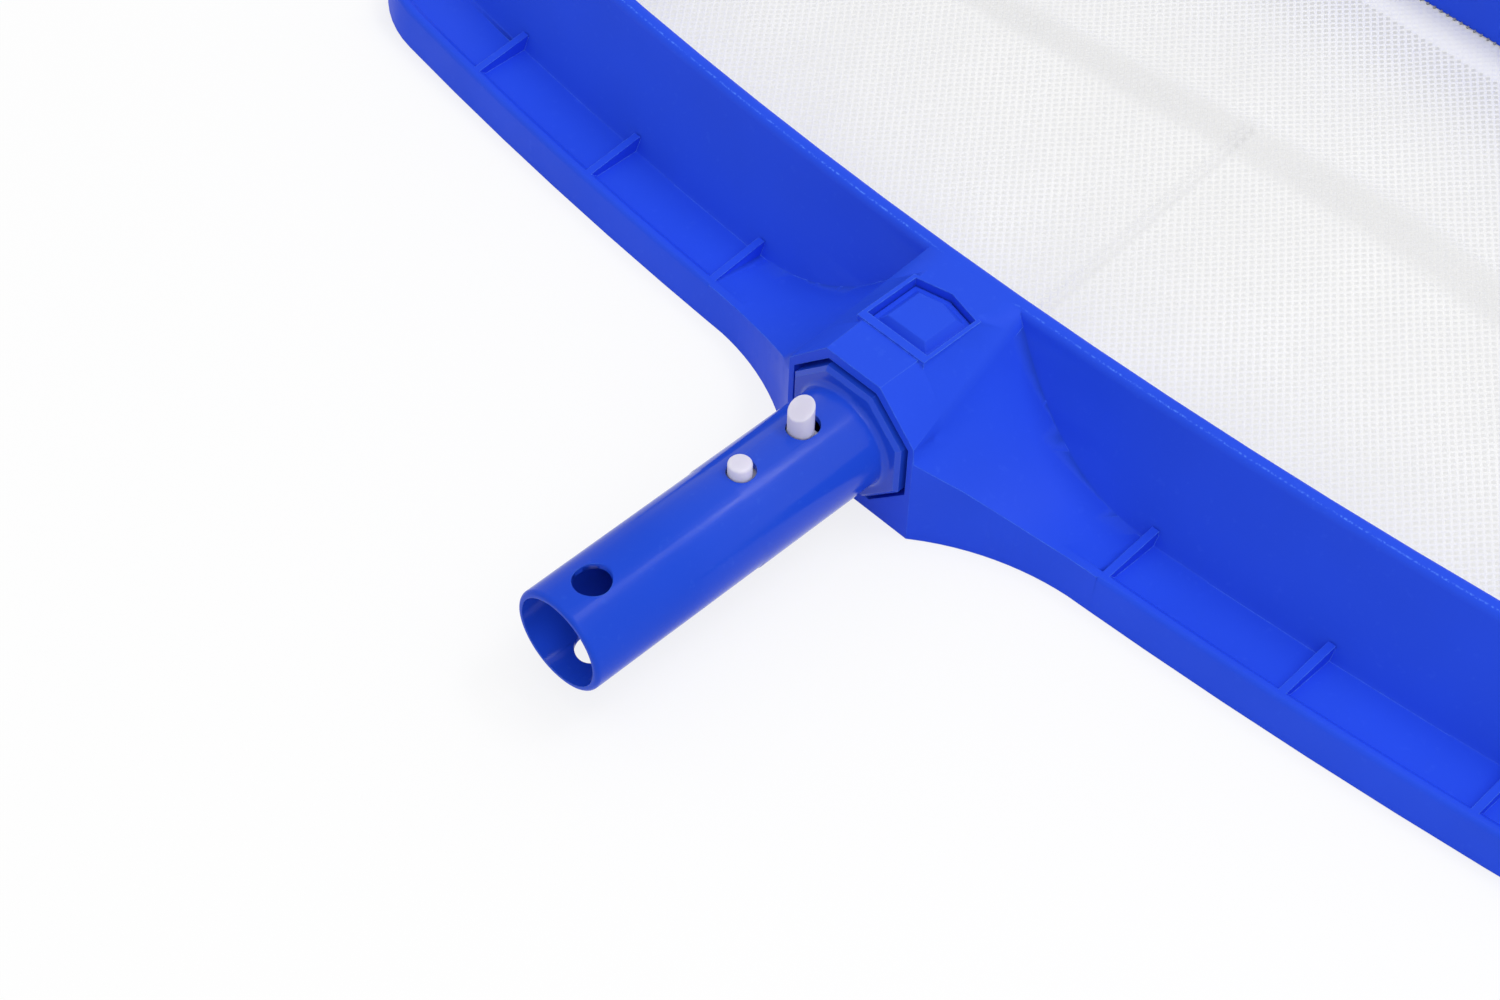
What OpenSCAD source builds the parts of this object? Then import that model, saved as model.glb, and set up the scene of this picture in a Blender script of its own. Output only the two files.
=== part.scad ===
// Leaf skimmer net: a moulded hoop with a socket for a plug-in pole adapter.
// Origin: on the resting plane, below the middle of the socket's mouth.
// X runs along the rear rail, Y from the pole towards the net, Z up.

/* [Hoop] */
// Overall width of the hoop, outside the channel
hoop_w = 479.6; // [460:0.1:560]
// Depth of the hoop from the rear rail's outer wall to the front rail's
hoop_d = 257.6; // [220:0.1:320]
// Distance from the socket's mouth back to the rear rail's outer wall
rail_setback = 14.4; // [13:0.1:15]
// Plan radius of the slightly bowed rear rail
bow_r = 1439.7; // [1200:0.1:2400]
// Plan radius of the hoop's outer corners
corner_r = 41; // [39:1:60]

/* [Rail section] */
// Height of the rounded rim
rim_h = 47.4; // [47.2:0.1:49]
// Thickness of the rim at its round top
rim_t = 5; // [4.8:0.1:5.6]
// Width of the rail from the net to the outer wall
rail_w = 33.2; // [32.6:0.1:34.4]
// Distance from the net side to the foot of the tall wall
wall_foot = 12.9; // [12.4:0.1:13.6]
// How far the tall wall's outer face is hollowed
wall_hollow = 1.8; // [0.8:0.1:2.2]
// Depth of the solid rim above the cavity for the clamp bars
core_drop = 15.4; // [14.6:0.1:17]
// Height of the channel's floor
floor_h = 10; // [9:0.1:11]
// Height of the channel's outer lip
lip_h = 12.2; // [11.8:0.1:14]
// Thickness of the lip's rounded crest
lip_t = 3.2; // [2.8:0.1:4]
// Slope of the outer wall over the lip's height
draft = 1.2; // [0.6:0.1:2]
// Wall thickness of the moulding
wall = 2.4; // [2:0.1:2.6]

/* [Ribs] */
// Number of ribs on each side of the socket
ribs = 3; // [1:1:3]
// Distance from the middle to the first rib
rib_start = 69; // [66:0.5:74]
// Spacing of the ribs
rib_pitch = 52.2; // [40:0.1:54]
// Thickness of a rib
rib_t = 2.2; // [1.6:0.1:3]
// Height of a rib above the floor at the tall wall
rib_h_wall = 4.4; // [3:0.1:7]
// Height of a rib above the floor at the lip
rib_h_lip = 2; // [1:0.1:2.2]

/* [Socket block] */
// Height of the pole axis above the resting plane
axis_h = 23.5; // [23.3:0.1:24]
// Width of the block at its mouth
block_w = 42.6; // [42.2:0.1:45]
// Height of the flat strip at the mouth
strip_h = 46; // [45.6:0.1:46.4]
// Width of the strip at the mouth
strip_w = 18.2; // [17.6:0.1:19.4]
// Width of the strip where it meets the rim
strip_w_rim = 20; // [19:0.1:22]
// Distance from the middle where the block's crest leaves the rim
crest_rim = 15.2; // [13:0.1:18]
// Distance from the middle where the flanks run out on the lip
flank_lip = 61.5; // [56:0.5:64]
// Distance from the middle where the flanks run out on the floor
flank_floor = 70; // [69:0.5:80]
// Distance from the middle where the flared wall joins the rail
flare_end = 68; // [64:0.5:72]
// Width across the flats of the recess at the mouth
recess_af = 39.2; // [38.6:0.1:39.6]
// Depth of the recess at the mouth
recess_d = 5; // [4:0.1:6]
// Depth of the socket from the mouth
socket_d = 39.6; // [38.6:0.1:40.4]
// Wall thickness of the socket's sleeve
sleeve_t = 2.4; // [2:0.1:2.6]

/* [Adapter] */
// Outside diameter of the tube that goes into a pole
tube_d = 28; // [27.6:0.1:28.3]
// Wall thickness of the tube
tube_wall = 1.7; // [1.5:0.1:2]
// Length of the tube from the flange's face to its mouth
tube_l = 95; // [93:0.5:110]
// Length of the tube's straight land from its mouth, clear of the clip's pins
land_l = 54; // [50:0.1:55]
// How much the tube's radius grows behind the land, to sit snug in the pole's end
land_step = 0.2; // [0.2:0.05:0.3]
// Radius of the fillet between tube and flange
tube_fillet = 1.6; // [0.8:0.1:2.4]
// Rounding of the tube's mouth
mouth_r = 1.2; // [0.6:0.1:1.3]
// Width across the flats of the flange
flange_af = 36.4; // [36.2:0.1:37]
// How far the flange stands out of the socket's mouth
flange_out = 1.9; // [1:0.1:3]
// Chamfer round the flange's face
flange_chamfer = 1; // [0.4:0.1:1.2]
// Width across the flats of the plug
plug_af = 34.6; // [34:0.1:34.8]
// Bore of the plug behind the flange
plug_bore = 30; // [29:0.1:30.4]
// Clearance between plug and socket
plug_gap = 0.3; // [0.2:0.05:0.35]
// Diameter of the cross hole near the tube's mouth
cross_d = 9.6; // [6:0.1:10]
// Distance of the cross hole from the tube's mouth
cross_at = 11.4; // [9:0.1:12.4]
// Rounding of the cross hole's edges
cross_edge = 0.8; // [0.4:0.1:0.9]

/* [Snap latch] */
// Width of the window that the catch stands in
window_w = 20.2; // [19.8:0.1:20.6]
// Distance from the mouth to the window's straight side
window_y = 15.3; // [14.8:0.1:15.6]
// Length of the window's parallel sides
window_l = 17.2; // [16.8:0.1:17.4]
// Height of the window's point
window_point = 2.4; // [1.6:0.1:2.8]
// Width of the raised border round the window
border_w = 1.2; // [0.8:0.1:1.6]
// Height of the raised border's top
border_h = 46.9; // [46.6:0.1:47.1]
// Width of the catch's top
catch_w = 12.4; // [11:0.1:12.8]
// Height of the catch's top
catch_h = 46.5; // [45:0.1:46.8]
// Distance from the window's straight side to the catch's top
catch_gap = 3.3; // [3:0.1:4]
// How far the catch's sides slope out at the foot
catch_slope = 2.2; // [1:0.1:2.4]
// Height of the pad's top round the catch
pad_h = 44.5; // [43:0.1:45.4]
// Clearance of the pad in the window towards the pole, where it swings out
pad_gap = 1.3; // [1.2:0.1:1.6]
// Thickness of the tongue that carries the catch
tongue_t = 2; // [1.6:0.1:2.2]
// Width of the tongue and its pad
tongue_w = 19.6; // [19:0.1:19.6]
// Running clearance of the tongue in its slot
tongue_gap = 0.5; // [0.3:0.1:0.6]
// Distance from the mouth to the tongue's root
tongue_root = 36.4; // [36:0.1:36.8]

/* [Pole clip] */
// Width of the clip's strip
clip_w = 8; // [6:0.1:8.2]
// Thickness of the clip's strip
clip_t = 2.4; // [1.8:0.1:2.6]
// Clearance of the clip inside the tube
clip_gap = 0.3; // [0.2:0.05:0.5]
// Distance of the lock pin from the mouth of the socket
lock_y = 37.9; // [36:0.1:40]
// Diameter of the lock pin
lock_d = 6.1; // [5:0.1:6.4]
// How far the lock pin stands out of the tube
lock_out = 3.5; // [2:0.1:4]
// Distance of the push pin from the mouth of the socket
push_y = 17.5; // [16.5:0.1:19]
// Diameter of the push pin
push_d = 6.7; // [6:0.1:7]
// How far the middle of the push pin's top stands out of the tube
push_out = 7.3; // [5:0.1:7.6]
// Slant of the push pin's top
push_slant = 26; // [0:1:28]
// Distance of the legs' roots from the mouth of the socket
clip_root = 62; // [62:0.5:68]
// Clearance round a pin in its hole
pin_gap = 0.4; // [0.3:0.05:0.6]
// Extra length of the push pin's slot towards the flange
push_slot = 1.7; // [1.5:0.1:2]
// Extra length of the lock pin's slot towards the flange
lock_slot = 0.9; // [0.8:0.1:1.4]

/* [Net] */
// Height of the net's upper face
net_h = 19.5; // [18.5:0.1:20]
// Thickness of the net
net_t = 0.5; // [0.4:0.1:0.8]
// Thickness of the hem tape
hem_t = 0.5; // [0.4:0.1:1]
// Rows of gaps in the net
net_rows = 11; // [6:1:11]
// Gaps in a row of the net
net_cols = 26; // [10:1:26]
// Width of the strands between the gaps
strand = 2.4; // [1.5:0.1:4]
// Height of the bars that clamp the net
clamp_h = 6; // [4:0.1:7]
// Height of the wedge on a clamp bar
wedge_h = 9; // [6:0.5:10]
// Clearance of the clamp bars in the hoop
clamp_gap = 0.3; // [0.2:0.05:0.4]

/* [Hidden] */

blue = [0.15, 0.30, 0.90];
glossy_blue = [0.14, 0.33, 0.84];
white = [0.82, 0.81, 0.88];
net_white = [0.94, 0.95, 0.96];

// Plan of the hoop: centres of the corner arcs and the half angle of the bowed rail
corner_x = hoop_w / 2 - corner_r;
bow_y = rail_setback + bow_r;
corner_y = bow_y - sqrt(pow(bow_r - corner_r, 2) - pow(corner_x, 2));
bow_a = asin(corner_x / (bow_r - corner_r));
hoop_y = rail_setback + hoop_d;
side_l = hoop_y - corner_r - corner_y;
side_y = corner_y + side_l / 2;
inner_r = corner_r - rail_w;

// Y of the bowed rail at a distance x from the middle, inset from its outer wall
function bowed(x, inset) = bow_y - sqrt(pow(bow_r - inset, 2) - x * x);

// A round stretch from angle a to angle b in n steps
function arc(c, r, a, b, n) =
    [for (i = [0:n]) c + r * [cos(a + (b - a) * i / n), sin(a + (b - a) * i / n)]];

rim_r = rim_t / 2;
lip_r = lip_t / 2;
foot_r = 2;
wall_top = rim_h - rim_r - 1;
core_h = rim_h - core_drop;
net_z = net_h - net_t;
clamp_top = net_z - hem_t;

// Distance of the tall wall's outer face from the net side at height z
function face_u(z) =
    let (t = (z - floor_h) / (wall_top - floor_h))
    wall_foot + (rim_t - wall_foot) * t - wall_hollow * 4 * t * (1 - t);

// Points up the tall wall's inner face from z0 to z1, moved in by a gap
function skin(z0, z1, gap, n) =
    [for (i = [0:n]) let (z = z0 + (z1 - z0) * i / n) [face_u(z) - wall - gap, z]];

// Rail section, x outwards from the net side and y up, open below
module rail_section(cored = true) {
    polygon(concat(
        [[rail_w, 0]],
        arc([rail_w - draft - lip_r, lip_h - lip_r], lip_r, 0, 150, 6),
        [[rail_w - draft - lip_t - 1.2, floor_h]],
        arc([wall_foot + 1.5, floor_h + foot_r], foot_r, 270, 204, 3),
        [for (i = [1:8]) let (z = floor_h + (wall_top - floor_h) * i / 8) [face_u(z), z]],
        arc([rim_r, rim_h - rim_r], rim_r, 0, 180, 10),
        cored ? concat(
            [[0, net_h], [wall, net_h], [wall, core_h]],
            skin(core_h, floor_h, 0, 4),
            [[wall_foot - wall, 0]]
        ) : [[0, 0]],
        [
            [wall_foot, 0],
            [wall_foot, floor_h - wall],
            [rail_w - draft - wall, floor_h - wall],
            [rail_w - wall, 0]
        ]
    ));
}

// What rail_section() leaves open on its net side
module cavity_section() {
    polygon(concat(
        [[-1, -1], [-1, net_h], [wall, net_h], [wall, core_h]],
        skin(core_h, floor_h, 0, 4),
        [[wall_foot - wall, -1]]
    ));
}

// Bar with a wedge that jams in the cavity and clamps the hem against the hoop
module clamp_section() {
    polygon(concat(
        [
            [clamp_gap, clamp_top - clamp_h],
            [clamp_gap, clamp_top],
            [wall + clamp_gap, clamp_top],
            [wall + clamp_gap, clamp_top + wedge_h]
        ],
        skin(clamp_top + wedge_h, clamp_top - clamp_h, clamp_gap, 4)
    ));
}

module hem_section() {
    translate([clamp_gap, clamp_top])
        square([wall - clamp_gap, hem_t]);
}

// Rib profile in the coordinates of rail_section()
module rib_section() {
    polygon([
        [rail_w - draft - lip_r, floor_h - wall / 2],
        [rail_w - draft - lip_r, floor_h + rib_h_lip],
        [wall_foot - 1.2, floor_h + rib_h_wall],
        [wall_foot - 1.2, floor_h - wall / 2]
    ]);
}

// The bowed rail's share of the plan, seen from the middle of its bow
module bow_sector() {
    reach = (bow_r + 20) * [sin(bow_a), cos(bow_a)];
    translate([0, 0, -4])
        linear_extrude(rim_h + 8)
            polygon([[0, bow_y], [-reach[0], bow_y - reach[1]], [reach[0], bow_y - reach[1]]]);
}

// Moves by v in ever finer steps, so that tangent stretches meet to a millionth
module place(v) {
    coarse = [for (x = v) round(x)];
    fine = [for (x = v - coarse) round(x * 1e5) / 1e5];
    translate(coarse)
        translate(fine)
            translate(v - coarse - fine)
                children();
}

// Moves to the middle of the front corners' plan arcs
module to_front() {
    place([0, corner_y, 0])
        translate([0, side_l, 0])
            children();
}

// Each of these sweeps a section along one stretch of the hoop
module along_rear() {
    intersection() {
        place([0, bow_y, 0])
            rotate_extrude($fn = 720)
                place([bow_r - rail_w, 0])
                    children();
        bow_sector();
    }
}

module along_front() {
    to_front()
        translate([-corner_x, inner_r, 0])
            rotate([90, 0, 90])
                linear_extrude(2 * corner_x)
                    children();
}

module along_right() {
    difference() {
        place([corner_x, corner_y, 0])
            mirror([0, 1, 0])
                rotate_extrude(angle = 91 - bow_a, $fn = 96)
                    place([inner_r, 0])
                        children();
        bow_sector();
    }
    place([corner_x, corner_y, 0])
        translate([inner_r, 0, 0])
            mirror([0, 1, 0])
                rotate([90, 0, 0])
                    linear_extrude(side_l)
                        children();
    to_front()
        translate([corner_x, 0, 0])
            rotate_extrude(angle = 90, $fn = 96)
                place([inner_r, 0])
                    children();
}

module along_left() {
    mirror([1, 0, 0])
        along_right()
            children();
}

// Ribs across the channel of each rail
module rear_ribs() {
    for (i = [0:ribs - 1])
        for (s = [-1, 1]) {
            x = s * (rib_start + i * rib_pitch);
            translate([x + rib_t / 2, bowed(x, rail_w), 0])
                rotate([90, 0, -90])
                    linear_extrude(rib_t)
                        rib_section();
        }
}

module front_ribs() {
    for (i = [-ribs:ribs])
        to_front()
            translate([i * rib_pitch - rib_t / 2, inner_r, 0])
                rotate([90, 0, 90])
                    linear_extrude(rib_t)
                        rib_section();
}

module side_ribs() {
    for (i = [-1:1])
        for (s = [0, 1])
            mirror([s, 0, 0])
                translate([corner_x + inner_r, side_y + i * rib_pitch + rib_t / 2, 0])
                    rotate([90, 0, 0])
                        linear_extrude(rib_t)
                            rib_section();
}

// Socket block: a ruled skin between a curve over the rear rail's outer wall and a
// curve on its tall wall
block_x = block_w / 2;
corner_drop = block_x - strip_w / 2 + 0.6;
skin_back = rail_setback + rail_w - rim_r;
rim_level = rim_h - 0.2;
lip_level = lip_h - 0.3;
floor_level = floor_h - 0.4;
flank_steps = 14;
flank_rows = 6;
flank_x0 = block_x + 0.3;

// Radius of a hollow that comes down by drop over run and ends level
function hollow_r(run, drop) = (run * run + drop * drop) / (2 * drop);

// Height of such a hollow at a distance d before its end
function hollow(d, r) = d <= 0 ? 0 : r - sqrt(r * r - d * d);

lip_fall_r = hollow_r(flank_lip - crest_rim - 1.6, strip_h - corner_drop - lip_level);
floor_fall_r = hollow_r(flank_floor - crest_rim, rim_level - floor_level);
flare_depth = bowed(flare_end, 0);
flare_r = hollow_r(flare_end - block_x, flare_depth);

// Y of the block's outer wall at its foot
function flare(x) = x <= block_x ? 0 : flare_depth - hollow(flare_end - x, flare_r);

// Front and back edges of the skin from the middle outwards, as [x, y, z]
front_edge = concat(
    [[0, 0, strip_h], [strip_w / 2, 0, strip_h], [block_x, 0, strip_h - corner_drop]],
    [for (i = [0:flank_steps])
        let (x = flank_x0 + (flare_end - flank_x0) * i / flank_steps)
        [x, flare(x) + draft * min(1, i / 3), lip_level + hollow(flank_lip - x, lip_fall_r)]]
);
back_edge = concat(
    [[0, 0, rim_level], [strip_w_rim / 2, 0, rim_level], [crest_rim, 0, rim_level]],
    [for (i = [0:flank_steps])
        let (x = crest_rim + (flank_floor - crest_rim) * (i + 0.4) / (flank_steps + 0.4))
        [x, 0, floor_level + hollow(flank_floor - x, floor_fall_r)]]
);
edge_n = len(front_edge);

// Y of the tall wall's outer face at height z
function tall_wall(x, z) = bowed(x, rail_w) - face_u(max(z, floor_h));

// Point of the skin in column i at the share t of the way back. The hollow under the
// skin starts a wall's thickness further in and ends on the tall wall.
function skin_point(i, t, inside) =
    let (
        f = front_edge[i],
        b = [back_edge[i][0], bowed(back_edge[i][0], rail_w) - rim_r, back_edge[i][2]],
        sink = inside ? wall / cos(45) : 0,
        y0 = f[1] + (inside ? wall : 0),
        y1 = inside ? tall_wall(b[0], b[2] - sink) : b[1],
        y = y0 + (y1 - y0) * t,
        p = f + (b - f) * (y - f[1]) / (b[1] - f[1])
    )
    [p[0] - (inside && i == edge_n - 1 ? wall : 0), y, p[2] - sink];

// Point below it on the resting plane, or a little lower for the hollow
function foot_point(i, t, inside) =
    let (
        p = skin_point(i, t, inside),
        y0 = inside ? front_edge[i][1] + wall : flare(front_edge[i][0]),
        y1 = inside ? tall_wall(p[0], 0) : bowed(back_edge[i][0], rail_w) - rim_r
    )
    [p[0], y0 + (y1 - y0) * t, inside ? -1 : 0];

// Share of the way back at row r: the rows close up towards the tall wall
function row_share(r) = 1 - pow(1 - r / flank_rows, 1.6);

// Solid under the skin, or the hollow in it
module flanks(inside = false) {
    cols = 2 * edge_n - 1;
    count = (flank_rows + 1) * cols;
    columns = [for (c = [0:cols - 1]) c - edge_n + 1];
    top = [for (r = [0:flank_rows]) for (c = columns)
        let (p = skin_point(abs(c), row_share(r), inside))
        [c < 0 ? -p[0] : p[0], p[1], p[2]]];
    foot = [for (r = [0:flank_rows]) for (c = columns)
        let (p = foot_point(abs(c), row_share(r), inside))
        [c < 0 ? -p[0] : p[0], p[1], p[2]]];
    last = flank_rows * cols;
    polyhedron(
        points = concat(top, foot),
        faces = concat(
            [for (r = [0:flank_rows - 1]) for (c = [0:cols - 2])
                let (k = r * cols + c)
                each [[k, k + cols, k + cols + 1], [k, k + cols + 1, k + 1]]],
            [for (r = [0:flank_rows - 1]) for (c = [0:cols - 2])
                let (k = count + r * cols + c)
                each [[k, k + cols + 1, k + cols], [k, k + 1, k + cols + 1]]],
            [for (k = [0:cols - 2])
                each [[k, k + 1, count + k + 1], [k, count + k + 1, count + k]]],
            [for (k = [last:last + cols - 2])
                each [[k + 1, k, count + k], [k + 1, count + k, count + k + 1]]],
            [for (r = [0:flank_rows - 1])
                let (k = r * cols)
                each [[k + cols, k, count + k], [k + cols, count + k, count + k + cols]]],
            [for (r = [1:flank_rows])
                let (k = r * cols - 1)
                each [[k, k + cols, count + k + cols], [k, count + k + cols, count + k]]]
        )
    );
}

// An eight-sided prism about the pole axis from y0 to y1, flat side up; af1 is the
// width across flats at y1 where it differs
module octagon(af, y0, y1, af1 = 0) {
    translate([0, y1, axis_h])
        rotate([90, 0, 0])
            rotate([0, 0, 22.5])
                cylinder(
                    r1 = (af1 == 0 ? af : af1) / 2 / cos(22.5),
                    r2 = af / 2 / cos(22.5),
                    h = y1 - y0,
                    $fn = 8
                );
}

// A round rod about the pole axis from y0 to y1
module rod(d, y0, y1) {
    translate([0, y1, axis_h])
        rotate([90, 0, 0])
            cylinder(d = d, h = y1 - y0, $fn = 96);
}

// Window outline: straight towards the pole, pointed towards the net
function home_plate(w, y, l, point) =
    [[-w / 2, y], [w / 2, y], [w / 2, y + l], [0, y + l + point], [-w / 2, y + l]];

// Straight loft from outline a at height za to outline b at height zb
module loft(a, za, b, zb) {
    n = len(a);
    polyhedron(
        points = concat([for (p = a) [p[0], p[1], za]], [for (p = b) [p[0], p[1], zb]]),
        faces = concat(
            [[for (i = [0:n - 1]) i]],
            [[for (i = [0:n - 1]) 2 * n - 1 - i]],
            [for (i = [0:n - 1]) [i, n + i, n + (i + 1) % n, (i + 1) % n]]
        )
    );
}

socket_af = plug_af + 2 * plug_gap;
socket_top = axis_h + socket_af / 2;

module hoop() {
    color(blue)
        difference() {
            union() {
                difference() {
                    union() {
                        along_rear()
                            rail_section(false);
                        flanks();
                        rear_ribs();
                    }
                    difference() {
                        flanks(true);
                        translate([-strip_w_rim / 2, 0, axis_h])
                            cube([strip_w_rim, skin_back, rim_h]);
                    }
                    along_rear()
                        cavity_section();
                }
                along_front()
                    rail_section();
                along_left()
                    rail_section();
                along_right()
                    rail_section();
                front_ribs();
                side_ribs();
                octagon(socket_af + 2 * sleeve_t, wall / 2, socket_d + sleeve_t);
                octagon(block_w - 0.2, wall / 2, recess_d + wall);
                translate([0, 0, strip_h - 4])
                    linear_extrude(border_h - strip_h + 4)
                        polygon(home_plate(
                            window_w + 2 * border_w,
                            window_y - 2 * border_w,
                            window_l + 2.6 * border_w,
                            window_point
                        ));
            }
            octagon(recess_af, -1, recess_d);
            octagon(socket_af, recess_d - 1, socket_d);
            translate([0, 0, socket_top - 3.4])
                linear_extrude(rim_h)
                    polygon(home_plate(window_w, window_y, window_l, window_point));
        }
}

module clamp_rear() {
    color(blue)
        difference() {
            along_rear()
                clamp_section();
            octagon(
                socket_af + 2 * sleeve_t + 2 * clamp_gap,
                0,
                socket_d + sleeve_t + clamp_gap
            );
        }
}

module clamp_front() {
    color(blue)
        along_front()
            clamp_section();
}

module clamp_left() {
    color(blue)
        along_left()
            clamp_section();
}

module clamp_right() {
    color(blue)
        along_right()
            clamp_section();
}

// Plan outline of the hoop at a distance inside its outer wall
function plan_outline(inset) = concat(
    arc([0, bow_y], bow_r - inset, 270 - bow_a, 270 + bow_a, 16),
    arc([corner_x, corner_y], corner_r - inset, 272 + bow_a, 360, 8),
    arc([corner_x, corner_y + side_l], corner_r - inset, 0, 90, 8),
    arc([-corner_x, corner_y + side_l], corner_r - inset, 90, 180, 8),
    arc([-corner_x, corner_y], corner_r - inset, 180, 268 - bow_a, 8)
);

net_inset = rail_w - wall;
net_half = hoop_w / 2 - net_inset;

// Y of the middle of row r of gaps at x
function net_row(x, r) =
    let (y0 = bowed(x, net_inset) + 6)
    y0 + (hoop_y - net_inset - 6 - y0) * (r + 0.5) / net_rows;

module net() {
    gap_x = 2 * (net_half - 6) / net_cols;
    gap_y = (hoop_y - bowed(net_half, 0) - 2 * net_inset - 12) / net_rows;
    color(net_white)
        difference() {
            translate([0, 0, net_z])
                linear_extrude(net_t)
                    polygon(plan_outline(net_inset));
            for (i = [0:net_cols - 1]) {
                x = (i - (net_cols - 1) / 2) * gap_x;
                for (r = [0:net_rows - 1])
                    translate([x, net_row(x, r), net_z - 1])
                        linear_extrude(net_t + 2)
                            polygon([
                                [-(gap_x - strand) / 2, 0],
                                [0, -(gap_y - strand) / 2],
                                [(gap_x - strand) / 2, 0],
                                [0, (gap_y - strand) / 2]
                            ]);
            }
        }
}

module hem_tape() {
    color(net_white)
        union() {
            along_rear()
                hem_section();
            along_front()
                hem_section();
            along_left()
                hem_section();
            along_right()
                hem_section();
        }
}

tube_r = tube_d / 2;
root_r = tube_r + land_step;
tube_bore = tube_d - 2 * tube_wall;
mouth_y = -flange_out - tube_l;

// Round hole down through the tube's upper wall, lengthened towards the flange
module pin_slot(d, y, extra) {
    translate([0, -y, axis_h])
        cylinder(d = d, h = tube_r + 2, $fn = 48);
    translate([0, extra - y, axis_h])
        cylinder(d = d, h = tube_r + 2, $fn = 48);
    translate([-d / 2, -y, axis_h])
        cube([d, extra, tube_r + 2]);
}

// The same below, by turning about the pole axis
module pin_slots() {
    pin_slot(lock_d + 2 * pin_gap, lock_y, lock_slot);
    pin_slot(push_d + 2 * pin_gap, push_y, push_slot);
}

// Rounding of the cross hole's edge, as a turned cutter
module cross_rounding() {
    rotate_extrude($fn = 48)
        polygon(concat(
            [[0, tube_r + 2], [0, tube_r - cross_edge - 0.2], [cross_d / 2, tube_r - cross_edge - 0.2]],
            arc([cross_d / 2 + cross_edge, tube_r - cross_edge], cross_edge, 180, 90, 5),
            [[cross_d / 2 + cross_edge + 0.4, tube_r + 2]]
        ));
}

tongue_y = window_y - 3.3;

module adapter() {
    color(glossy_blue)
        difference() {
            union() {
                translate([0, -flange_out, axis_h])
                    rotate([90, 0, 0])
                        rotate_extrude($fn = 96)
                            polygon(concat(
                                [[0, -1], [root_r + tube_fillet, -1]],
                                arc(
                                    [root_r + tube_fillet, tube_fillet],
                                    tube_fillet, 270, 180, 5
                                ),
                                [
                                    [root_r, tube_l - land_l - 4 * land_step],
                                    [tube_r, tube_l - land_l]
                                ],
                                arc([tube_r - mouth_r, tube_l - mouth_r], mouth_r, 0, 90, 5),
                                [[0, tube_l]]
                            ));
                intersection() {
                    octagon(flange_af, -flange_out, recess_d);
                    octagon(
                        flange_af - 2 * flange_chamfer,
                        -flange_out,
                        recess_d + 1,
                        flange_af - 2 * flange_chamfer + 2 * (recess_d + 1 + flange_out)
                    );
                }
                octagon(plug_af, recess_d - 1, socket_d - 1);
            }
            rod(tube_bore, mouth_y - 1, recess_d);
            rod(plug_bore, recess_d - 1, socket_d);
            pin_slots();
            translate([0, 0, 2 * axis_h])
                mirror([0, 0, 1])
                    pin_slots();
            translate([0, mouth_y + cross_at, axis_h]) {
                cylinder(d = cross_d, h = 2 * tube_r + 4, center = true, $fn = 96);
                cross_rounding();
                mirror([0, 0, 1])
                    cross_rounding();
            }
            translate([-tongue_w / 2 - tongue_gap, tongue_y - tongue_gap, axis_h])
                cube([
                    tongue_w + 2 * tongue_gap,
                    tongue_root - tongue_y + tongue_gap,
                    plug_af
                ]);
        }
}

catch_l = window_l - 2 * catch_gap + 0.4;
catch_point = window_point - 0.8;

module latch_tongue() {
    color(glossy_blue)
        union() {
            intersection() {
                octagon(plug_af, tongue_y, tongue_root);
                translate([-tongue_w / 2, tongue_y - 1, axis_h + plug_af / 2 - tongue_t])
                    cube([tongue_w, tongue_root, tongue_t + 1]);
            }
            translate([0, 0, axis_h + plug_af / 2 - 1.3])
                linear_extrude(pad_h - axis_h - plug_af / 2 + 1.3)
                    polygon(home_plate(
                        tongue_w,
                        window_y + pad_gap,
                        window_l - pad_gap - 0.3,
                        window_point - 0.2
                    ));
            loft(
                home_plate(
                    catch_w + 2 * catch_slope,
                    window_y + catch_gap - catch_slope + 0.5,
                    catch_l + 2 * catch_slope - 0.9,
                    catch_point
                ),
                pad_h - 0.2,
                home_plate(catch_w, window_y + catch_gap, catch_l, catch_point),
                catch_h
            );
        }
}

clip_r = sqrt(pow(tube_bore / 2, 2) - pow(clip_w / 2, 2)) - clip_gap;
leg_end = push_y - push_d / 2 - 0.6;

module clip_bow() {
    color(white)
        translate([0, -clip_root, axis_h])
            rotate([0, 90, 0])
                rotate([0, 0, 180])
                    rotate_extrude(angle = 180, $fn = 96)
                        translate([clip_r - clip_t, -clip_w / 2])
                            square([clip_t, clip_w]);
}

// Upper leg about the pole axis: a strip with a lock pin and a push pin
module clip_leg() {
    translate([-clip_w / 2, -clip_root, clip_r - clip_t])
        cube([clip_w, clip_root - leg_end, clip_t]);
    translate([0, -lock_y, 0])
        rotate_extrude($fn = 48)
            polygon(concat(
                [[0, clip_r - 1], [lock_d / 2, clip_r - 1]],
                arc([lock_d / 2 - 0.8, tube_r + lock_out - 0.8], 0.8, 0, 90, 4),
                [[0, tube_r + lock_out]]
            ));
    difference() {
        translate([0, -push_y, clip_r - 1])
            cylinder(d = push_d, h = tube_r + push_out + push_d - clip_r, $fn = 48);
        translate([0, -push_y, tube_r + push_out])
            rotate([push_slant, 0, 0])
                translate([-push_d, -2 * push_d, 0])
                    cube([2 * push_d, 4 * push_d, 2 * push_d]);
    }
}

module clip_leg_upper() {
    color(white)
        translate([0, 0, axis_h])
            clip_leg();
}

module clip_leg_lower() {
    color(white)
        translate([0, 0, axis_h])
            mirror([0, 0, 1])
                clip_leg();
}

hoop();
clamp_rear();
clamp_front();
clamp_left();
clamp_right();
net();
hem_tape();
adapter();
latch_tongue();
clip_bow();
clip_leg_upper();
clip_leg_lower();
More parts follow.
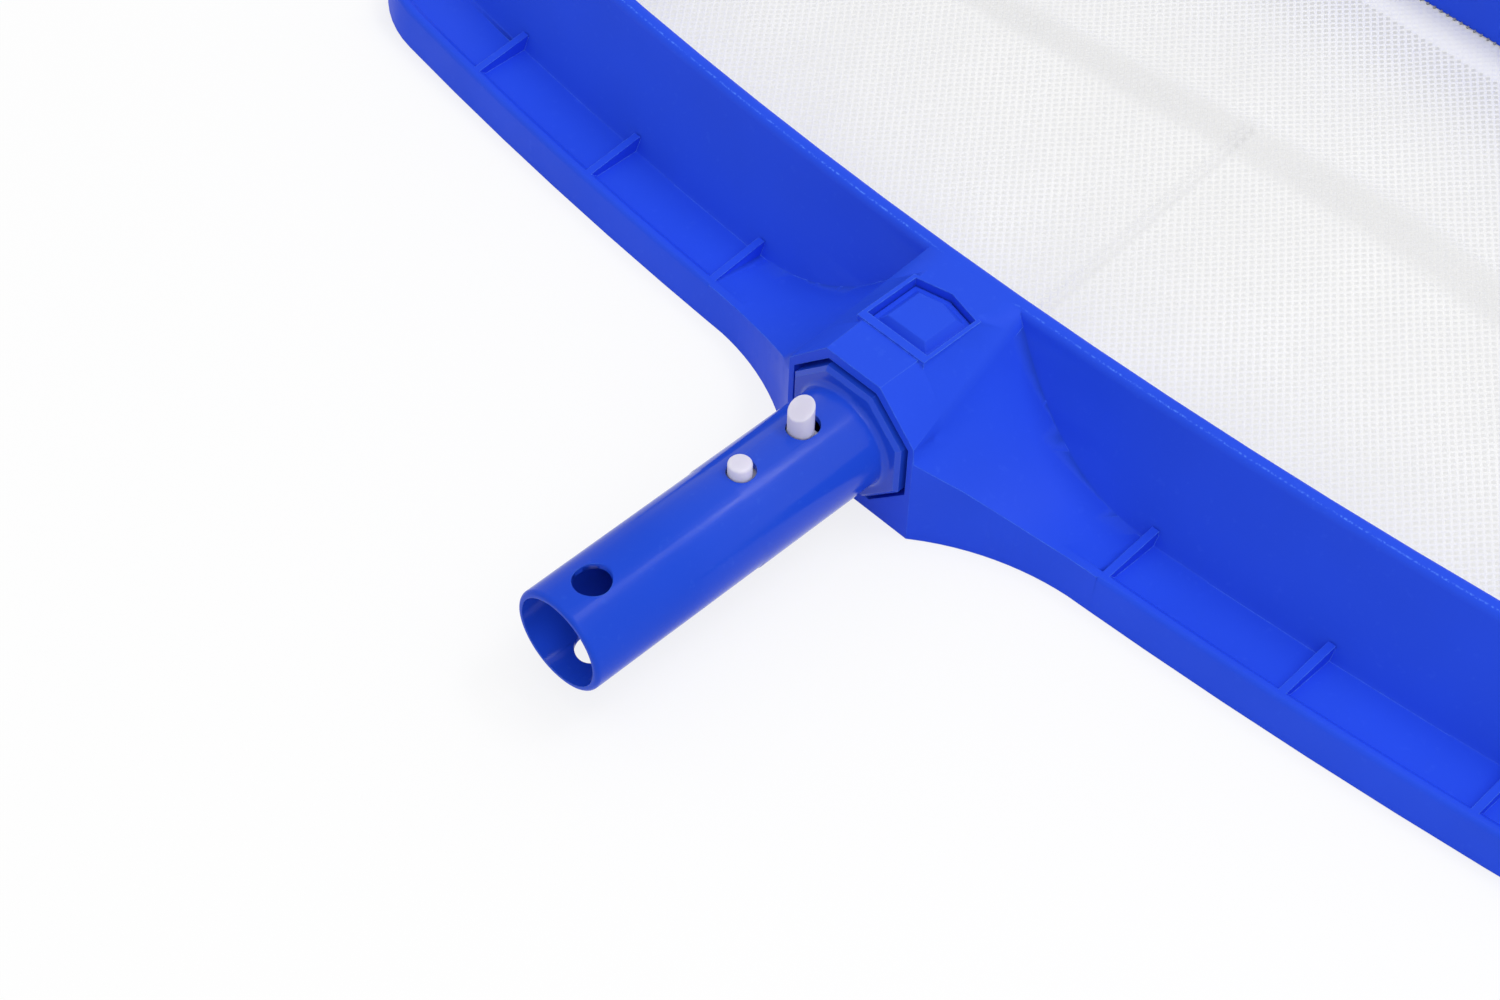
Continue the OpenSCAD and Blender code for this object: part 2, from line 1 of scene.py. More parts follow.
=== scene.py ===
"""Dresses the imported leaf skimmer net: moulded plastic, pole clip, knitted net and its stage."""

import math

import bmesh
import bpy
from bpy.props import FloatProperty, FloatVectorProperty, PointerProperty
from mathutils import Matrix, Vector, noise


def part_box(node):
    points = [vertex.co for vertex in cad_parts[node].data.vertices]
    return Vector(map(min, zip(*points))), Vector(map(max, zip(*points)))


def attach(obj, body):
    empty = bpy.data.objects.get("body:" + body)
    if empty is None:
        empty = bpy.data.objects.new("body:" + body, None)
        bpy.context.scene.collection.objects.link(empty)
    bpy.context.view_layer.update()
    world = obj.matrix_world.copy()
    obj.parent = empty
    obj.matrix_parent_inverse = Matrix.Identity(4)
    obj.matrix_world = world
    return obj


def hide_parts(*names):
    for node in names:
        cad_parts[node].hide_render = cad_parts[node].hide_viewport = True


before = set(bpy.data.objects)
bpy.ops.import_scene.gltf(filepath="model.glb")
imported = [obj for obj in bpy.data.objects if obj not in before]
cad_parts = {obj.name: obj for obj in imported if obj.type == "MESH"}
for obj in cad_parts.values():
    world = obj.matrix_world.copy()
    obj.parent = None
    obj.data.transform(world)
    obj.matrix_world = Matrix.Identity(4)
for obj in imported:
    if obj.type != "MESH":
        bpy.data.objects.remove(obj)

bl_info = {
    "name": "Leaf skimmer net",
    "version": (1, 0, 0),
    "blender": (4, 5, 0),
    "location": "3D View > Sidebar > Skimmer",
    "description": "Builds the looks of a flat leaf skimmer net round its fixed frame",
    "category": "Object",
}

MM = 0.001

# The hoop's plan: a bowed rear rail, two straight sides and a straight front
HOOP_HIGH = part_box("hoop")[1]
HALF_WIDTH = HOOP_HIGH.x
FRONT_Y = HOOP_HIGH.y
SETBACK = 14.4 * MM
BOW_RADIUS = 1439.7 * MM
CORNER_RADIUS = 41 * MM
CORNER_X = HALF_WIDTH - CORNER_RADIUS
BOW_Y = SETBACK + BOW_RADIUS
REAR_CORNER_Y = BOW_Y - math.sqrt((BOW_RADIUS - CORNER_RADIUS) ** 2 - CORNER_X ** 2)
FRONT_CORNER_Y = FRONT_Y - CORNER_RADIUS
BOW_ANGLE = math.degrees(math.asin(CORNER_X / (BOW_RADIUS - CORNER_RADIUS)))
MIDDLE_Y = (SETBACK + FRONT_Y) / 2

# The rail's section, with places across it counted outwards from the net's side
RAIL_WIDTH = 33.2 * MM
WALL = 2.4 * MM
NET_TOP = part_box("net")[1].z
FLOOR_Z = 10 * MM
FOOT_RADIUS = 2 * MM
FOOT_U = 14.4 * MM
FOOT_END = 204  # degrees at which the foot's fillet meets the tall wall
HIGHLIGHT_DROP = 0.38 * MM  # from the rim's crest down to the dotted line of painted highlight
HIGHLIGHT_HALF = 0.16 * MM

# The edges of the flat strip on the socket block, which stay crisp
STRIP_SIDE = (8.9 * MM, 10.3 * MM)
STRIP_LOW = 45.7 * MM
STRIP_END = 32 * MM

MERGE = 0.002 * MM
CREASE = math.radians(31)  # edges sharper than this stay sharp or are rounded

# Along Y, where the tube's gloss has fallen towards its mouth, and where it is full
DULLED = (-66 * MM, -34 * MM)

# Noise scales in features to a metre
SCUFFS = 60
CLOUDS = 22
PATCHES = 300
RUBS = 420
GRAIN = 1500
PITS = 260
DOTS = 1300
DYE = 30
FUZZ = 700
TWIST = 2400
FIBRES = 2800

# Plan points, in metres, of the fold across the net, and the line of the fold along it
CROSS_FOLD = [(-0.215, 0.143), (-0.150, 0.147), (-0.089, 0.152), (-0.048, 0.157),
              (-0.009, 0.161), (0.018, 0.164), (0.048, 0.165), (0.078, 0.1645),
              (0.140, 0.163), (0.215, 0.160)]
LONG_FOLD_X = 3 * MM
LONG_FOLD_Y = 70 * MM
LONG_FOLD_SLANT = 0.08


# Sizes and colours that a user would change

class SkimmerPlasticSettings(bpy.types.PropertyGroup):
    hoop_colour: FloatVectorProperty(
        name="Hoop colour", description="Colour of the moulded hoop", subtype="COLOR",
        size=3, min=0, max=1, default=(0.021, 0.080, 0.770))
    adapter_colour: FloatVectorProperty(
        name="Adapter colour", description="Colour of the glossy pole adapter", subtype="COLOR",
        size=3, min=0, max=1, default=(0.014, 0.068, 0.620))
    clip_colour: FloatVectorProperty(
        name="Clip colour", description="Colour of the sprung pole clip", subtype="COLOR",
        size=3, min=0, max=1, default=(0.70, 0.68, 0.80))
    hoop_roughness: FloatProperty(
        name="Hoop roughness", description="Roughness of the satin moulding",
        min=0, max=1, default=0.42)
    adapter_roughness: FloatProperty(
        name="Adapter roughness", description="Roughness of the glossy adapter",
        min=0, max=1, default=0.16)
    clip_roughness: FloatProperty(
        name="Clip roughness", description="Roughness of the clip's plain plastic",
        min=0, max=1, default=0.40)
    edge_radius: FloatProperty(
        name="Edge radius", description="Rounding of the mouldings' edges", unit="LENGTH",
        min=0, default=0.35 * MM)


class SkimmerNetSettings(bpy.types.PropertyGroup):
    cell_width: FloatProperty(
        name="Cell width", description="Width of a diamond of the net", unit="LENGTH",
        min=1 * MM, default=2.5 * MM)
    cell_depth: FloatProperty(
        name="Cell depth", description="Depth of a diamond of the net", unit="LENGTH",
        min=1 * MM, default=3.1 * MM)
    strand: FloatProperty(
        name="Strand", description="Width of the knitted strands", unit="LENGTH",
        min=0.2 * MM, default=0.8 * MM)
    hem_width: FloatProperty(
        name="Hem width", description="Width of the doubled band along the net's edge",
        unit="LENGTH", min=0, default=12 * MM)
    stitch: FloatProperty(
        name="Stitch", description="Spacing of the overlock stitches along the hem",
        unit="LENGTH", min=1 * MM, default=2.35 * MM)
    ridge: FloatProperty(
        name="Ridge", description="How far a strand's middle stands above its sides",
        unit="LENGTH", min=0, default=0.14 * MM)
    fold: FloatProperty(
        name="Fold", description="Height of the folds left by the packing", unit="LENGTH",
        min=0, default=1.3 * MM)
    thread_colour: FloatVectorProperty(
        name="Thread colour", description="Colour of the net's thread", subtype="COLOR",
        size=3, min=0, max=1, default=(0.92, 0.92, 0.91))


class SkimmerStageSettings(bpy.types.PropertyGroup):
    sky: FloatProperty(
        name="Sky", description="Strength of the light from all round", min=0, default=0.67)
    key: FloatProperty(
        name="Key light", description="Power of the large lamp overhead", unit="POWER",
        min=0, default=20)
    window: FloatProperty(
        name="Window light", description="Power of the small lamp that makes the highlights",
        unit="POWER", min=0, default=4)
    camera_place: FloatVectorProperty(
        name="Camera place", description="Where the camera stands", subtype="TRANSLATION",
        size=3, default=(0.3401, -0.3806, 0.5919))
    camera_turn: FloatProperty(
        name="Camera turn", description="How far the camera turns left of the pole's line",
        subtype="ANGLE", default=0.783)
    camera_dip: FloatProperty(
        name="Camera dip", description="How far the camera looks down",
        subtype="ANGLE", default=0.863)
    camera_roll: FloatProperty(
        name="Camera roll", description="How far the camera leans", subtype="ANGLE",
        default=0.024)
    lens: FloatProperty(
        name="Lens", description="Focal length on a 36 mm sensor, in millimetres",
        min=1, default=74.11)


# Node helpers

def start_material(name):
    """A new material with its node tree and its shader."""
    material = bpy.data.materials.new(name)
    material.use_nodes = True
    tree = material.node_tree
    return material, tree, tree.nodes["Principled BSDF"]


def noise_map(tree, place, scale, detail=2.0, stretch=None):
    """A noise on the piece's own place, stretched along an axis where asked."""
    source = place.outputs["Object"]
    if stretch:
        mapping = tree.nodes.new("ShaderNodeMapping")
        mapping.inputs["Scale"].default_value = stretch
        tree.links.new(source, mapping.inputs["Vector"])
        source = mapping.outputs["Vector"]
    texture = tree.nodes.new("ShaderNodeTexNoise")
    texture.inputs["Scale"].default_value = scale
    texture.inputs["Detail"].default_value = detail
    tree.links.new(source, texture.inputs["Vector"])
    return texture.outputs["Fac"]


def ranged(tree, source, low, high, to_low, to_high):
    """The source with its range from low to high carried to another range."""
    node = tree.nodes.new("ShaderNodeMapRange")
    for socket, value in zip(("From Min", "From Max", "To Min", "To Max"),
                             (low, high, to_low, to_high)):
        node.inputs[socket].default_value = value
    tree.links.new(source, node.inputs["Value"])
    return node.outputs["Result"]


def combined(tree, operation, a, b=0):
    """One number from two numbers or sockets."""
    node = tree.nodes.new("ShaderNodeMath")
    node.operation = operation
    for k, source in enumerate((a, b)):
        if isinstance(source, (int, float)):
            node.inputs[k].default_value = source
        else:
            tree.links.new(source, node.inputs[k])
    return node.outputs["Value"]


def dot(tree, a, b):
    """How far two directions agree."""
    node = tree.nodes.new("ShaderNodeVectorMath")
    node.operation = "DOT_PRODUCT"
    tree.links.new(a, node.inputs[0])
    tree.links.new(b, node.inputs[1])
    return node.outputs["Value"]


def place_along(tree, place, axis):
    """The place on the piece along X, Y or Z."""
    apart = tree.nodes.new("ShaderNodeSeparateXYZ")
    tree.links.new(place.outputs["Object"], apart.inputs["Vector"])
    return apart.outputs[axis]


def off_from(tree, place, axis, middle):
    """Distance from a place along X, Y or Z."""
    return combined(tree, "ABSOLUTE",
                    combined(tree, "SUBTRACT", place_along(tree, place, axis), middle))


def attribute(tree, name):
    """A number that the mesh holds at each of its vertices."""
    node = tree.nodes.new("ShaderNodeAttribute")
    node.attribute_name = name
    return node.outputs["Fac"]


def seen_directly(tree):
    """One for rays from the camera or by way of gloss or glass, nought for the rest."""
    path = tree.nodes.new("ShaderNodeLightPath")
    rays = combined(tree, "MAXIMUM", path.outputs["Is Camera Ray"],
                    path.outputs["Is Glossy Ray"])
    return combined(tree, "MAXIMUM", rays, path.outputs["Is Transmission Ray"])


def blended(tree, share, a, b):
    """Colour from a to b by share; a and b are colours or sockets."""
    node = tree.nodes.new("ShaderNodeMix")
    node.data_type = "RGBA"
    tree.links.new(share, node.inputs["Factor"])
    for name, source in (("A", a), ("B", b)):
        socket = next(s for s in node.inputs if s.name == name and s.type == "RGBA")
        if isinstance(source, bpy.types.NodeSocket):
            tree.links.new(source, socket)
        else:
            socket.default_value = (*source, 1)
    return next(s for s in node.outputs if s.type == "RGBA")


def relief(tree, shader, height, strength, depth, normal=None):
    """Raises the surface by the height, on the given normal where there is one."""
    bump = tree.nodes.new("ShaderNodeBump")
    bump.inputs["Strength"].default_value = strength
    bump.inputs["Distance"].default_value = depth
    tree.links.new(height, bump.inputs["Height"])
    if normal:
        tree.links.new(normal, bump.inputs["Normal"])
    tree.links.new(bump.outputs["Normal"], shader.inputs["Normal"])


def shaded(colour, factor):
    """The colour made lighter or darker."""
    return tuple(min(1.0, c * factor) for c in colour)


def paler_blue(colour, amount):
    """The paler blue that the plastic takes where it is rubbed, and that is also painted along its
    edges as highlight.
    """
    return tuple(min(1.0, c + amount * share) for c, share in zip(colour, (0.35, 0.8, 1.0)))


# Materials

def soft_edges(tree, radius):
    """Normals rounded over the edges, and a mask that is one along them."""
    rounding = tree.nodes.new("ShaderNodeBevel")
    rounding.samples = 4
    rounding.inputs["Radius"].default_value = radius
    flat = tree.nodes.new("ShaderNodeNewGeometry")
    agreement = dot(tree, rounding.outputs["Normal"], flat.outputs["Normal"])
    return rounding.outputs["Normal"], ranged(tree, agreement, 0.80, 0.995, 1, 0)


def painted_highlight_line(tree, place, normal, height):
    """A mask of dots along one height, on the hoop's outward sides only, where a dotted highlight
    is painted.
    """
    along = ranged(tree, off_from(tree, place, "Z", height), 0, HIGHLIGHT_HALF, 0.9, 0)
    dots = ranged(tree, noise_map(tree, place, DOTS), 0.44, 0.60, 0, 1)
    outward = tree.nodes.new("ShaderNodeVectorMath")
    outward.operation = "SUBTRACT"
    tree.links.new(place.outputs["Object"], outward.inputs[0])
    outward.inputs[1].default_value = (0, MIDDLE_Y, height)
    facing = dot(tree, outward.outputs["Vector"], normal)
    outer = ranged(tree, facing, 0.02, 0.04, 0, 1)
    return combined(tree, "MULTIPLY", along, combined(tree, "MULTIPLY", dots, outer))


def moulded(name, colour, roughness, radius, grain=0.10, gloss=0.15, wear_and_highlight=0.24, milk=0,
            line=None, dulled=None):
    """Injection moulded plastic: clouded colour, fine grain, scuffs, edges paled partly by
    wear and partly as painted highlight, a dotted painted highlight at the height given
    as line, and gloss that falls from the second Y of dulled to its first."""
    material, tree, shader = start_material(name)
    place = tree.nodes.new("ShaderNodeTexCoord")
    normal, edge = soft_edges(tree, radius)
    if line:
        edge = combined(tree, "MAXIMUM", edge, painted_highlight_line(tree, place, normal, line))

    cloud = ranged(tree, noise_map(tree, place, CLOUDS), 0.35, 0.65, 0, 1)
    tone = blended(tree, cloud, shaded(colour, 0.96), shaded(colour, 1.03))
    rub = ranged(tree, noise_map(tree, place, RUBS, 4), 0.62, 0.80, 0, 0.30)
    tone = blended(tree, rub, tone, paler_blue(colour, 0.06))
    patchy = ranged(tree, noise_map(tree, place, PATCHES, 3), 0.30, 0.60, 0.25, 1)
    # Edges paled partly by wear and partly as painted highlight.
    wear_and_highlight_mask = combined(tree, "MULTIPLY", edge, patchy)
    tone = blended(tree, wear_and_highlight_mask, tone, paler_blue(colour, wear_and_highlight))
    tree.links.new(tone, shader.inputs["Base Color"])

    wide = ranged(tree, noise_map(tree, place, SCUFFS), 0.3, 0.7, -0.05, 0.06)
    scratch = ranged(tree, noise_map(tree, place, SCUFFS, 3, (9, 1, 6)), 0.62, 0.74, 0, 0.07)
    rough = combined(tree, "ADD", combined(tree, "ADD", wide, roughness), scratch)
    tree.links.new(rough, shader.inputs["Roughness"])

    pits = combined(tree, "MULTIPLY", noise_map(tree, place, PITS, 2), 1.5)
    height = combined(tree, "ADD", noise_map(tree, place, GRAIN, 3), pits)
    relief(tree, shader, height, grain, 0.05 * MM, normal)

    shader.inputs["IOR"].default_value = 1.49
    shader.inputs["Specular IOR Level"].default_value = gloss
    if dulled:
        tree.links.new(
            ranged(tree, place_along(tree, place, "Y"), *dulled, gloss * 0.3, gloss),
            shader.inputs["Specular IOR Level"])
    if milk:
        shader.inputs["Subsurface Weight"].default_value = milk
        shader.inputs["Subsurface Radius"].default_value = (1, 0.9, 1)
        shader.inputs["Subsurface Scale"].default_value = 3 * MM
    return material


def knitted(name, colour, folded=False):
    """Knitted polyester thread: pale, a little fuzzy, with its twist as fine relief. On the
    folded net, shade is painted along its creases, and a warm tint is painted along its hem
    against the blue light that the wall throws onto it."""
    material, tree, shader = start_material(name)
    place = tree.nodes.new("ShaderNodeTexCoord")
    cloud = ranged(tree, noise_map(tree, place, DYE, 3), 0.3, 0.7, 0, 1)
    tone = blended(tree, cloud, shaded(colour, 0.95), shaded(colour, 1.03))
    twist = ranged(tree, noise_map(tree, place, TWIST, 2), 0.35, 0.65, 0, 1)
    tone = blended(tree, twist, shaded(colour, 0.94), tone)
    if folded:
        # Painted shade along the net's folds.
        tone = blended(tree, attribute(tree, "painted_crease_shade"), tone, shaded(colour, 0.70))
        # A warm tint painted along the hem, against the blue light that the wall throws on the net
        # there.
        tone = blended(tree, attribute(tree, "hem"), tone, (1.0, 0.99, 0.88))
    tree.links.new(tone, shader.inputs["Base Color"])
    rough = ranged(tree, noise_map(tree, place, FUZZ), 0.3, 0.7, 0.55, 0.75)
    tree.links.new(rough, shader.inputs["Roughness"])
    relief(tree, shader, noise_map(tree, place, FIBRES, 1), 0.35, 0.08 * MM)
    shader.inputs["Sheen Weight"].default_value = 0.15
    shader.inputs["Sheen Roughness"].default_value = 0.5
    return material


def floor_material():
    """Pale floor that the camera sees nearly white, greyer under the net, with the
    shadow kept."""
    material, tree, shader = start_material("floor")
    shader.inputs["Base Color"].default_value = (0.93, 0.93, 0.93, 1)
    shader.inputs["Roughness"].default_value = 0.95
    shader.inputs["Specular IOR Level"].default_value = 0.1
    glow = tree.nodes.new("ShaderNodeEmission")
    glow.inputs["Color"].default_value = (1, 1, 1, 1)
    place = tree.nodes.new("ShaderNodeTexCoord")
    half_depth = FRONT_Y / 2
    side = off_from(tree, place, "X", 0)
    away = off_from(tree, place, "Y", half_depth + 10 * MM)
    beyond_side, beyond_end = (
        ranged(tree, off, half - 30 * MM, half - 10 * MM, 0, 1)
        for off, half in ((side, HALF_WIDTH), (away, half_depth)))
    outside = combined(tree, "MAXIMUM", beyond_side, beyond_end)
    whiteness = ranged(tree, outside, 0, 1, 0.61, 0.80)
    mix = tree.nodes.new("ShaderNodeMixShader")
    tree.links.new(combined(tree, "MULTIPLY", seen_directly(tree), whiteness),
                   mix.inputs["Fac"])
    tree.links.new(shader.outputs["BSDF"], mix.inputs[1])
    tree.links.new(glow.outputs["Emission"], mix.inputs[2])
    tree.links.new(mix.outputs["Shader"], tree.nodes["Material Output"].inputs["Surface"])
    return material


# The hoop's plan

def inset_at(x, y):
    """Distance of a plan point inside the hoop's outer wall."""
    side = abs(x)
    if y > FRONT_CORNER_Y and side > CORNER_X:
        return CORNER_RADIUS - math.hypot(side - CORNER_X, y - FRONT_CORNER_Y)
    reach = math.hypot(side, y - BOW_Y)
    if y < REAR_CORNER_Y and side > CORNER_X / (BOW_Y - REAR_CORNER_Y) * (BOW_Y - y):
        return CORNER_RADIUS - math.hypot(side - CORNER_X, y - REAR_CORNER_Y)
    return min(BOW_RADIUS - reach, HALF_WIDTH - side, FRONT_Y - y)


def plan_points(inset, step):
    """Points round the hoop's plan at a distance inside its outer wall, about a step apart."""
    corner = CORNER_RADIUS - inset
    arcs = [
        (0, BOW_Y, BOW_RADIUS - inset, 270 - BOW_ANGLE, 270 + BOW_ANGLE),
        (CORNER_X, REAR_CORNER_Y, corner, 270 + BOW_ANGLE, 360),
        (CORNER_X, FRONT_CORNER_Y, corner, 0, 90),
        (-CORNER_X, FRONT_CORNER_Y, corner, 90, 180),
        (-CORNER_X, REAR_CORNER_Y, corner, 180, 270 - BOW_ANGLE),
    ]
    corners = []
    for x, y, radius, start, end in arcs:
        steps = max(2, round(math.radians(end - start) * radius / step))
        for i in range(steps + 1):
            angle = math.radians(start + (end - start) * i / steps)
            corners.append(Vector((x + radius * math.cos(angle), y + radius * math.sin(angle))))
    points = []
    for a, b in zip(corners, corners[1:] + corners[:1]):
        steps = round((b - a).length / step)
        points += [a.lerp(b, i / steps) for i in range(steps)]
    return points


# Mesh helpers

def finish_piece(mesh_source, name, material, body, nodes):
    """Makes the object of a piece, seats it on its body and hides the nodes that it stands in for.
    """
    mesh = bpy.data.meshes.new(name)
    mesh_source.to_mesh(mesh)
    mesh_source.free()
    mesh.materials.append(material)
    piece = bpy.data.objects.new(name, mesh)
    bpy.context.scene.collection.objects.link(piece)
    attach(piece, body)
    if nodes:
        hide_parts(*nodes)
    return piece


def sharpen_foot(mesh):
    """Draws in the tall wall's small foot fillet, so that it meets the floor in a line."""
    middle_z = FLOOR_Z + FOOT_RADIUS
    wall_end = math.radians(FOOT_END)
    path = [(0, (FOOT_U, FLOOR_Z)), (1 / 3, (FOOT_U - 1.1 * MM, FLOOR_Z)),
            (2 / 3, (FOOT_U - 1.38 * MM, FLOOR_Z + 0.2 * MM)),
            (1, (FOOT_U + FOOT_RADIUS * math.cos(wall_end),
                 middle_z + FOOT_RADIUS * math.sin(wall_end)))]
    step = 0.1 * MM
    for vertex in mesh.verts:
        x, y, z = vertex.co
        if not FLOOR_Z - 0.01 * MM < z < FLOOR_Z + 1.25 * MM:
            continue
        u = RAIL_WIDTH - inset_at(x, y)
        off = math.hypot(u - FOOT_U, z - middle_z) - FOOT_RADIUS
        if abs(off) > 0.06 * MM or u > FOOT_U:
            continue
        angle = math.degrees(math.atan2(z - middle_z, u - FOOT_U)) % 360
        share = (270 - angle) / (270 - FOOT_END)
        for (a, start), (b, end) in zip(path, path[1:]):
            if share <= b + 1e-4:
                new_u, new_z = Vector(start).lerp(Vector(end), (share - a) / (b - a))
                break
        else:
            continue
        across = Vector((inset_at(x + step, y) - inset_at(x - step, y),
                         inset_at(x, y + step) - inset_at(x, y - step))) / (2 * step)
        vertex.co.x += (u - new_u) * across.x
        vertex.co.y += (u - new_u) * across.y
        vertex.co.z = new_z


def keep_strip_crisp(mesh):
    """Marks the edges of the block's flat strip as sharp, though they are low."""
    sharp = mesh.attributes["sharp_edge"].data
    for edge in mesh.edges:
        ends = [mesh.vertices[k].co for k in edge.vertices]
        if all(STRIP_SIDE[0] < abs(v.x) < STRIP_SIDE[1] and v.z > STRIP_LOW
               and v.y < STRIP_END for v in ends):
            sharp[edge.index].value = True


def moulding(node, body, material):
    """A merged copy of a rigid node, shaded smooth between its sharp edges."""
    source = bmesh.new()
    source.from_mesh(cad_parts[node].data)
    bmesh.ops.remove_doubles(source, verts=source.verts, dist=MERGE)
    bmesh.ops.dissolve_degenerate(source, edges=source.edges, dist=MERGE)
    bmesh.ops.dissolve_limit(
        source, angle_limit=math.radians(0.4), verts=source.verts, edges=source.edges)
    if node == "hoop":
        sharpen_foot(source)
    for face in source.faces:
        face.smooth = True
    piece = finish_piece(source, node + "_moulding", material, body, [node])
    piece.data.set_sharp_from_angle(angle=CREASE)
    if node == "hoop":
        keep_strip_crisp(piece.data)
    flat = piece.modifiers.new("Level large faces", "WEIGHTED_NORMAL")
    flat.mode = "FACE_AREA_WITH_ANGLE"
    flat.keep_sharp = True
    return piece


def round_edges(piece, radius):
    """Rounds the sharp edges of a piece of simple shape in its mesh."""
    piece.modifiers.clear()
    bevel = piece.modifiers.new("Rounded edges", "BEVEL")
    bevel.width = radius
    bevel.segments = 2
    bevel.limit_method = "ANGLE"
    bevel.angle_limit = CREASE
    bevel.harden_normals = True


# The net's relief

def smooth_step(t):
    t = min(1.0, max(0.0, t))
    return t * t * (3 - 2 * t)


def ahead_of_fold(x, y):
    """How far a place on the net lies in front of the fold across it."""
    for (x0, y0), (x1, y1) in zip(CROSS_FOLD, CROSS_FOLD[1:]):
        if x <= x1:
            return y - (y0 + (y1 - y0) * (x - x0) / (x1 - x0))
    return y - CROSS_FOLD[-1][1]


def beside_fold(x, y):
    """How far a place on the net lies to the right of the fold along it."""
    return x - (LONG_FOLD_X - (y - LONG_FOLD_Y) * LONG_FOLD_SLANT)


def net_rise(x, y, fold):
    """How far the net lies above its plane: packing folds, soft waves, level at the hem."""
    free = smooth_step((inset_at(x, y) - RAIL_WIDTH - 1 * MM) / (22 * MM))
    ahead = ahead_of_fold(x, y)
    if ahead < 0:
        cross = math.exp(-((-ahead) / (9 * MM)) ** 1.3)
    else:
        cross = math.exp(-(ahead / (4 * MM)) ** 1.2)
    ridge = math.exp(-(beside_fold(x, y) / (1.6 * MM)) ** 2) * 0.6
    ridge *= smooth_step(0.5 - ahead / (8 * MM))
    waves = noise.noise(Vector((x * 26, y * 13, 4.2))) * 0.9
    waves += noise.noise(Vector((x * 70 + y * 40, y * 30, 1.7))) * 0.25
    return fold * free * (cross * 0.9 + ridge + waves)


def painted_crease_shade_at(x, y):
    """How much painted shade darkens the net here along its folds: a soft band across it and a row
    along it.
    """
    ahead = ahead_of_fold(x, y)
    half = 6 * MM + x * 0.014
    band = math.exp(-((ahead + half) / (half + 1 * MM)) ** 4) * 0.44
    if ahead > -1 * MM:
        return band
    row = (beside_fold(x, y) - 1.2 * MM) / (0.9 * MM)
    return band + math.exp(-row ** 2) * 0.45


# Operators, one for each piece or group of like pieces

class SKIMMER_OT_hoop(bpy.types.Operator):
    """Dresses the hoop and the four bars that clamp the net"""

    bl_idname = "skimmer.hoop"
    bl_label = "Hoop and clamp bars"

    def execute(self, context):
        plastic = context.scene.skimmer_plastic
        # The hoop's edges are paled partly as wear and partly as painted highlight, and a dotted
        # highlight is painted just below the rim's crest.
        skin = moulded("hoop_plastic", plastic.hoop_colour, plastic.hoop_roughness,
                       plastic.edge_radius, gloss=0.06, line=HOOP_HIGH.z - HIGHLIGHT_DROP)
        for node in ("hoop", "clamp_rear", "clamp_front", "clamp_left", "clamp_right"):
            moulding(node, "frame", skin)
        return {"FINISHED"}


class SKIMMER_OT_adapter(bpy.types.Operator):
    """Dresses the pole adapter and its snap latch"""

    bl_idname = "skimmer.adapter"
    bl_label = "Adapter and latch"

    def execute(self, context):
        plastic = context.scene.skimmer_plastic
        skin = moulded("adapter_plastic", plastic.adapter_colour, plastic.adapter_roughness,
                       plastic.edge_radius, grain=0.04, gloss=0.21, wear_and_highlight=0.14, dulled=DULLED)
        moulding("adapter", "frame", skin)
        skin = moulded("latch_plastic", plastic.hoop_colour, plastic.hoop_roughness,
                       plastic.edge_radius, gloss=0.06)
        round_edges(moulding("latch_tongue", "latch", skin), plastic.edge_radius)
        return {"FINISHED"}


class SKIMMER_OT_clip(bpy.types.Operator):
    """Dresses the sprung clip: its bow and two legs with their pins"""

    bl_idname = "skimmer.clip"
    bl_label = "Pole clip"

    def execute(self, context):
        plastic = context.scene.skimmer_plastic
        skin = moulded("clip_plastic", plastic.clip_colour, plastic.clip_roughness,
                       plastic.edge_radius, grain=0.06, gloss=0.3, wear_and_highlight=0.2, milk=0.8)
        for node, body in (("clip_bow", "frame"), ("clip_leg_upper", "leg_upper"),
                           ("clip_leg_lower", "leg_lower")):
            round_edges(moulding(node, body, skin), plastic.edge_radius)
        return {"FINISHED"}


class SKIMMER_OT_hem(bpy.types.Operator):
    """Binds the net's edge with a tape and an overlock thread along it, the thread coloured dark
    as painted shadow where the net meets the wall
    """

    bl_idname = "skimmer.hem"
    bl_label = "Hem tape and stitching"

    def execute(self, context):
        settings = context.scene.skimmer_net
        thread = knitted("hem_thread", settings.thread_colour)
        tape = bmesh.new()
        tape.from_mesh(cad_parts["hem_tape"].data)
        bmesh.ops.remove_doubles(tape, verts=tape.verts, dist=MERGE)
        for face in tape.faces:
            face.smooth = False
        finish_piece(tape, "hem_binding", thread, "frame", ["hem_tape"])

        stitches = bmesh.new()
        stitch = self.stitch()
        points = plan_points(RAIL_WIDTH + 0.35 * MM, settings.stitch)
        for point, following in zip(points, points[1:] + points[:1]):
            ahead = (following - point).normalized()
            turn = Matrix((
                (ahead.y, ahead.x, 0, point.x),
                (-ahead.x, ahead.y, 0, point.y),
                (0, 0, 1, NET_TOP + 0.1 * MM),
                (0, 0, 0, 1)))
            stitch.transform(turn)
            stitches.from_mesh(stitch)
            stitch.transform(turn.inverted())
        bpy.data.meshes.remove(stitch)
        for face in stitches.faces:
            face.smooth = True
        # The stitches are coloured dark as painted shadow of the gaps between the net's edge and
        # the wall.
        painted_shadow_thread = knitted("stitch_painted_shadow", shaded(settings.thread_colour, 0.36))
        finish_piece(stitches, "hem_stitches", painted_shadow_thread, "frame", [])
        return {"FINISHED"}

    def stitch(self):
        """The mesh of one stitch: a small egg that lies across the hem."""
        egg = bmesh.new()
        bmesh.ops.create_uvsphere(
            egg, u_segments=8, v_segments=5, radius=1,
            matrix=Matrix.Diagonal((0.60 * MM, 0.42 * MM, 0.40 * MM, 1)))
        mesh = bpy.data.meshes.new("stitch")
        egg.to_mesh(mesh)
        egg.free()
        return mesh


